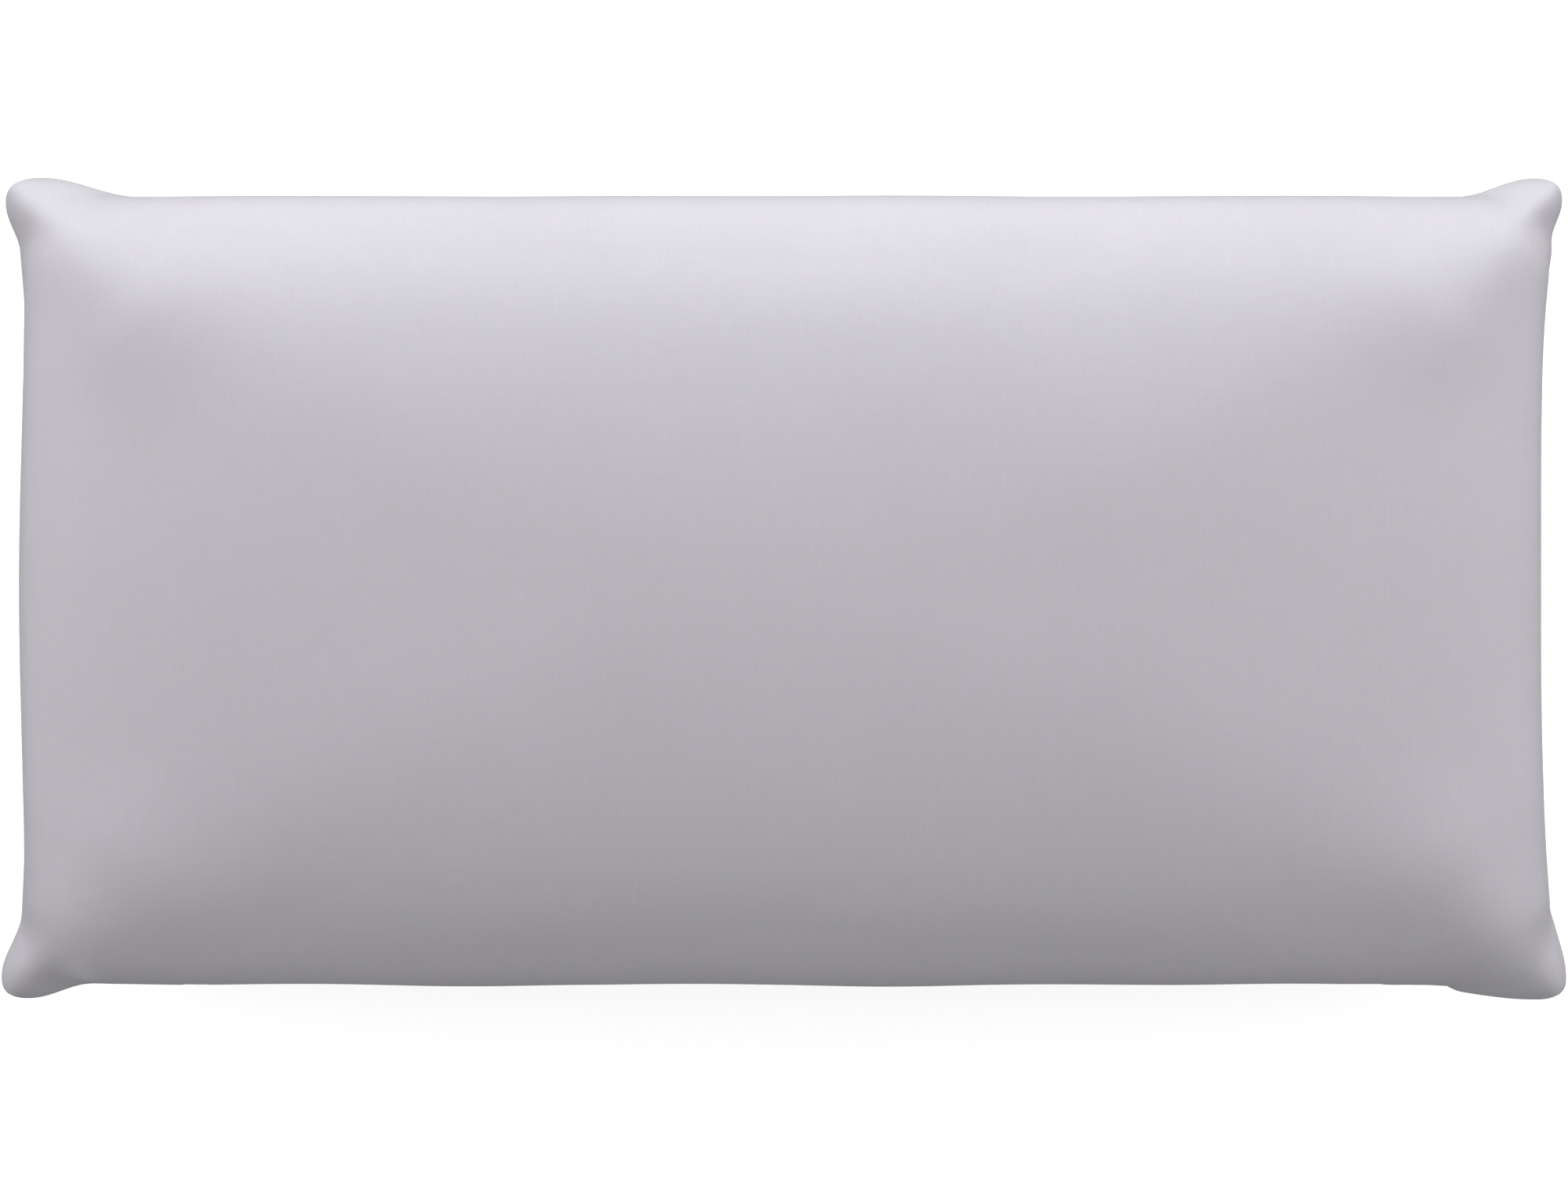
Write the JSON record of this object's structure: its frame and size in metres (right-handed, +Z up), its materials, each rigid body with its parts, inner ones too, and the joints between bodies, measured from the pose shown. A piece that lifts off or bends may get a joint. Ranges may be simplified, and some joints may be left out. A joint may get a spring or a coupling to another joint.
{
  "type": "bed pillow",
  "caption": "Rectangular bed pillow: moulded foam core in a liner, inside a smooth knitted cover with soft corner ears and a zipper along one long side.",
  "frame": {"origin": "on the bed, under the middle of the pillow", "axes": "+X along the pillow's length, +Y across it away from the zipper, +Z up through its thickness"},
  "size_m": [0.7, 0.367, 0.13],
  "materials": {
    "cover_knit": "matte",
    "liner_tricot": "matte",
    "foam": "matte",
    "sewing_thread": "satin",
    "zipper_tape": "matte",
    "zipper_nylon": "satin",
    "slider_enamel": "satin"
  },
  "bodies": {
    "pillow": {"cover_front": "cover_knit", "cover_back": "cover_knit", "cover_seam_thread": "sewing_thread", "liner_front": "liner_tricot", "liner_back": "liner_tricot", "liner_seam_thread": "sewing_thread", "foam_core": "foam", "zipper_tape_front": "zipper_tape", "zipper_tape_back": "zipper_tape", "zipper_teeth_front": "zipper_nylon", "zipper_teeth_back": "zipper_nylon", "zipper_top_stops": "zipper_nylon", "zipper_bottom_stop": "zipper_nylon", "zipper_stitches_front": "sewing_thread", "zipper_stitches_back": "sewing_thread", "zipper_bartacks": "sewing_thread"},
    "slider": {"slider_body": "slider_enamel"},
    "tab": {"pull_tab": "slider_enamel"}
  },
  "joints": [
    {"name": "slider_slide", "type": "slide", "parent": "pillow", "child": "slider", "axis": [-1, 0, 0], "range_m": [0, 0.512], "deforming": ["zipper_teeth_front", "zipper_teeth_back", "zipper_tape_front", "zipper_tape_back"]},
    {"name": "pull_tab_hinge", "type": "hinge", "parent": "slider", "child": "tab", "pos_m": [0.258, -0.1717, 0.06], "axis": [0, 0, 1], "range_deg": [0, 180]}
  ]
}
